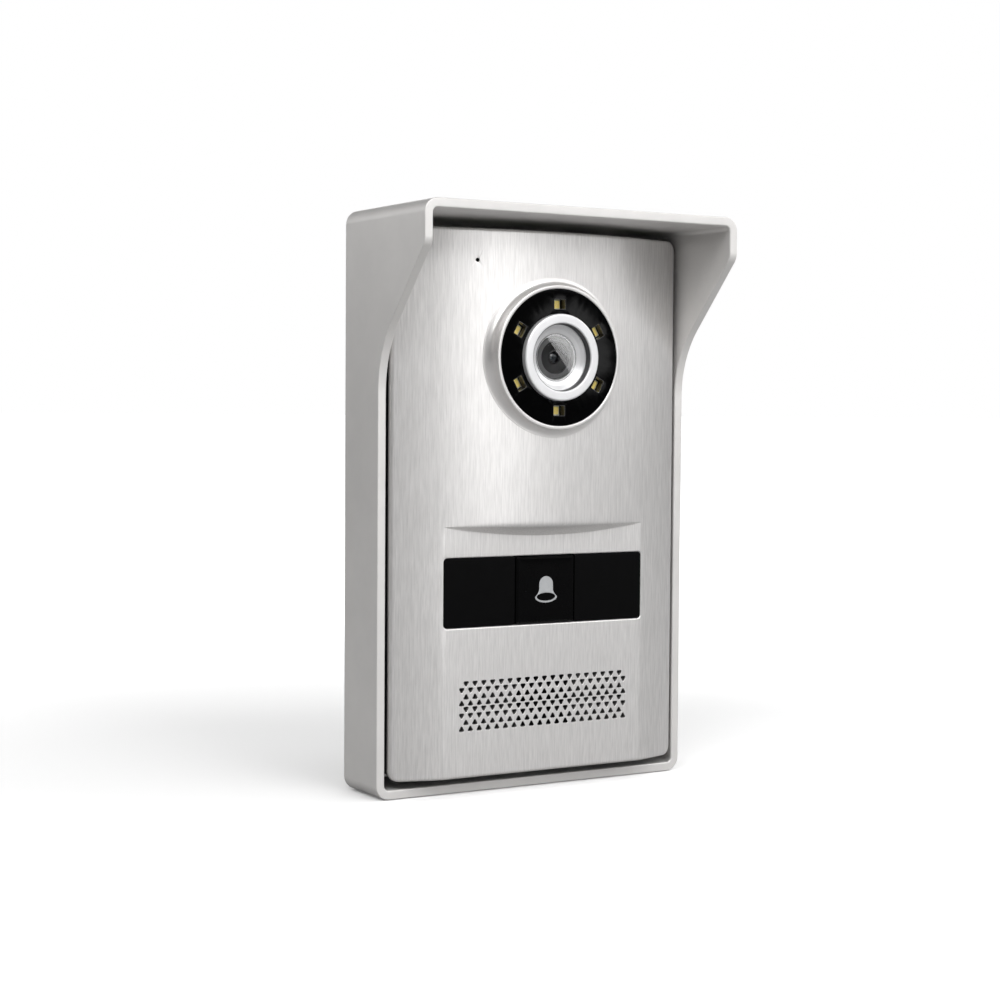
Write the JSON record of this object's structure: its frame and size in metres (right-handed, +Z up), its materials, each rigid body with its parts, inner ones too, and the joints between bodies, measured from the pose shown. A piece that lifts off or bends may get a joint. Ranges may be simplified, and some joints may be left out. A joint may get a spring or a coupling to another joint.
{
  "type": "door intercom panel",
  "caption": "Door intercom panel: crowned brushed aluminium unit with camera, call button and speaker grille in a rain hood for a wall.",
  "frame": {"origin": "centre of the pattern of four wall slots, in the plane of the hood's back face, which lies on the wall", "axes": "+Y into the wall (the front faces -Y), +Z up, +X to the right as seen from the front"},
  "size_m": [0.1064, 0.048, 0.17],
  "materials": {
    "hood_silver": "fine satin silver coat",
    "brushed_aluminium": "vertical brush, clear anodised",
    "satin_silver": "smooth satin",
    "ring_silver": "fine bead-blasted, polished bore",
    "bowl_silver": "silver coated, smooth",
    "gloss_black": "high gloss",
    "clear_pane": "clear",
    "clear_glass": "clear, flat",
    "coated_glass": "coated",
    "lens_black": "black anodised",
    "sensor_glass": "glossy",
    "phosphor": "yellow phosphor",
    "icon_silver": "silver print",
    "housing_black": "fine textured",
    "black_rubber": "matt",
    "grille_backing": "felted",
    "speaker_steel": "black coated",
    "cone_film": "film",
    "magnet_steel": "plated",
    "can_aluminium": "drawn",
    "zinc_steel": "zinc plated",
    "screw_steel": "stainless",
    "plunger_red": "moulded",
    "board_black": "solder mask",
    "board_green": "solder mask",
    "terminal_green": "moulded",
    "relay_blue": "moulded",
    "capacitor_sleeve": "sleeve",
    "ribbon_white": "film",
    "connector_cream": "moulded"
  },
  "bodies": {
    "door_station": {"rain_hood": "hood_silver", "mounting_bracket": "zinc_steel", "bracket_screws": "screw_steel", "retaining_screw": "screw_steel", "cable_grommet": "black_rubber", "front_panel": "brushed_aluminium", "panel_seal": "black_rubber", "rear_housing": "housing_black", "housing_screws": "screw_steel", "camera_bezel": "satin_silver", "led_cover": "gloss_black", "led_panes": "clear_pane", "led_board": "board_black", "led_emitters": "phosphor", "camera_ring": "ring_silver", "lens_bowl": "bowl_silver", "lens_window": "clear_glass", "lens_barrel": "lens_black", "lens_element": "coated_glass", "lens_holder": "housing_black", "image_sensor": "sensor_glass", "camera_board": "board_green", "left_plate": "gloss_black", "right_plate": "gloss_black", "key_carrier": "housing_black", "button_switch": "housing_black", "speaker_gasket": "grille_backing", "speaker_frame": "speaker_steel", "speaker_cone": "cone_film", "speaker_magnet": "magnet_steel", "microphone": "can_aluminium", "mic_boot": "black_rubber", "main_board": "board_green", "terminal_block": "terminal_green", "lock_relay": "relay_blue", "capacitors": "capacitor_sleeve", "processor_shield": "can_aluminium", "ribbon_cable": "ribbon_white", "ribbon_connectors": "connector_cream", "board_screws": "screw_steel"},
    "call_button": {"call_button": "gloss_black", "bell_icon": "icon_silver"},
    "switch_plunger": {"switch_plunger": "plunger_red"}
  },
  "joints": [
    {"name": "call_button_press", "type": "slide", "parent": "door_station", "child": "call_button", "axis": [0, 1, 0], "range_m": [0, 0.0008], "stiffness_N_per_m": 1800, "springref_m": -0.0003},
    {"name": "switch_plunger_press", "type": "slide", "parent": "door_station", "child": "switch_plunger", "axis": [0, 1, 0], "range_m": [0, 0.0008]}
  ],
  "couplings": [
    {"joint": "switch_plunger_press", "follows": "call_button_press", "ratio": 1}
  ]
}
